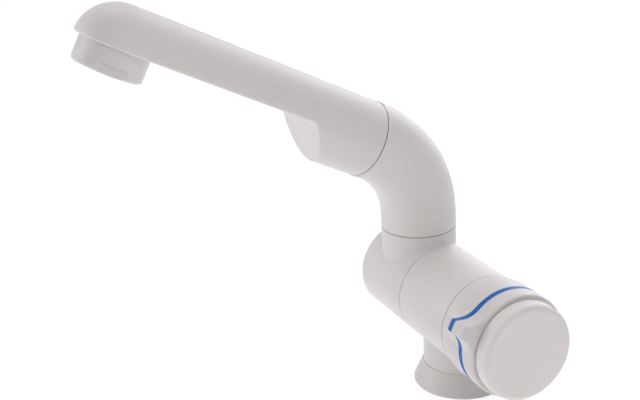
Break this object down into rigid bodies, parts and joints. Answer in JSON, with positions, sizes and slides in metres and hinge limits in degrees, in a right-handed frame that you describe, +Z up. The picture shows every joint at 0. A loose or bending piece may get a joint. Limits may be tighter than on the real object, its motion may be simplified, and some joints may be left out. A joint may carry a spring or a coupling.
{
  "type": "cold water tap",
  "caption": "White folding cold water tap with a swivelling half-round spout, a finned knob with a blue stripe and a threaded shank for a worktop hole.",
  "frame": {"origin": "centre of the base's underside, on the plane where the tap stands on the worktop", "axes": "+Z up out of the worktop, X along the lying body with the knob at +X, spout reaching towards -Y"},
  "size_m": [0.1006, 0.1607, 0.2317],
  "materials": {
    "white_plastic": "satin",
    "collar_plastic": "satin",
    "insert_plastic": "matte",
    "grey_plastic": "matte",
    "blue_plastic": "gloss",
    "dark_ring": "matte",
    "black_rubber": "matte",
    "brass": "satin",
    "steel": "brushed",
    "ceramic": "polished"
  },
  "bodies": {
    "base": {"base_rosette": "white_plastic", "seat_gasket": "black_rubber", "threaded_shank": "white_plastic", "clamp_washer": "steel", "mounting_nut": "grey_plastic", "inlet_stem": "brass", "valve_body": "white_plastic", "headpart_housing": "brass", "headpart_oring": "black_rubber", "seat_seal": "black_rubber", "ceramic_disc_fixed": "ceramic", "pivot_tube": "brass", "pivot_orings": "black_rubber", "keeper_washer": "steel", "pivot_screw": "steel"},
    "riser": {"pivot_housing": "white_plastic", "end_cap": "white_plastic", "grub_screw": "steel", "glide_ring": "dark_ring"},
    "spout_arm": {"elbow": "white_plastic", "swivel_orings": "black_rubber", "spout": "white_plastic", "spout_oring": "black_rubber", "aerator_collar": "collar_plastic", "aerator_insert": "insert_plastic", "outlet_washer": "black_rubber"},
    "knob": {"knob_skirt": "white_plastic", "indicator_ring": "blue_plastic", "knob_grip": "white_plastic", "knob_screw": "steel", "end_disc": "white_plastic", "valve_spindle": "brass", "ceramic_disc_moving": "ceramic", "spindle_oring": "black_rubber"}
  },
  "joints": [
    {"name": "riser_fold", "type": "hinge", "parent": "base", "child": "riser", "pos_m": [-0.0353, 0, 0.0325], "axis": [1, 0, 0], "range_deg": [0, 90]},
    {"name": "spout_swivel", "type": "hinge", "parent": "riser", "child": "spout_arm", "pos_m": [-0.0353, 0, 0.05695], "axis": [0, 0, 1], "continuous": true},
    {"name": "knob_turn", "type": "hinge", "parent": "base", "child": "knob", "pos_m": [0.0174, 0, 0.0325], "axis": [1, 0, 0], "range_deg": [0, 90]}
  ]
}
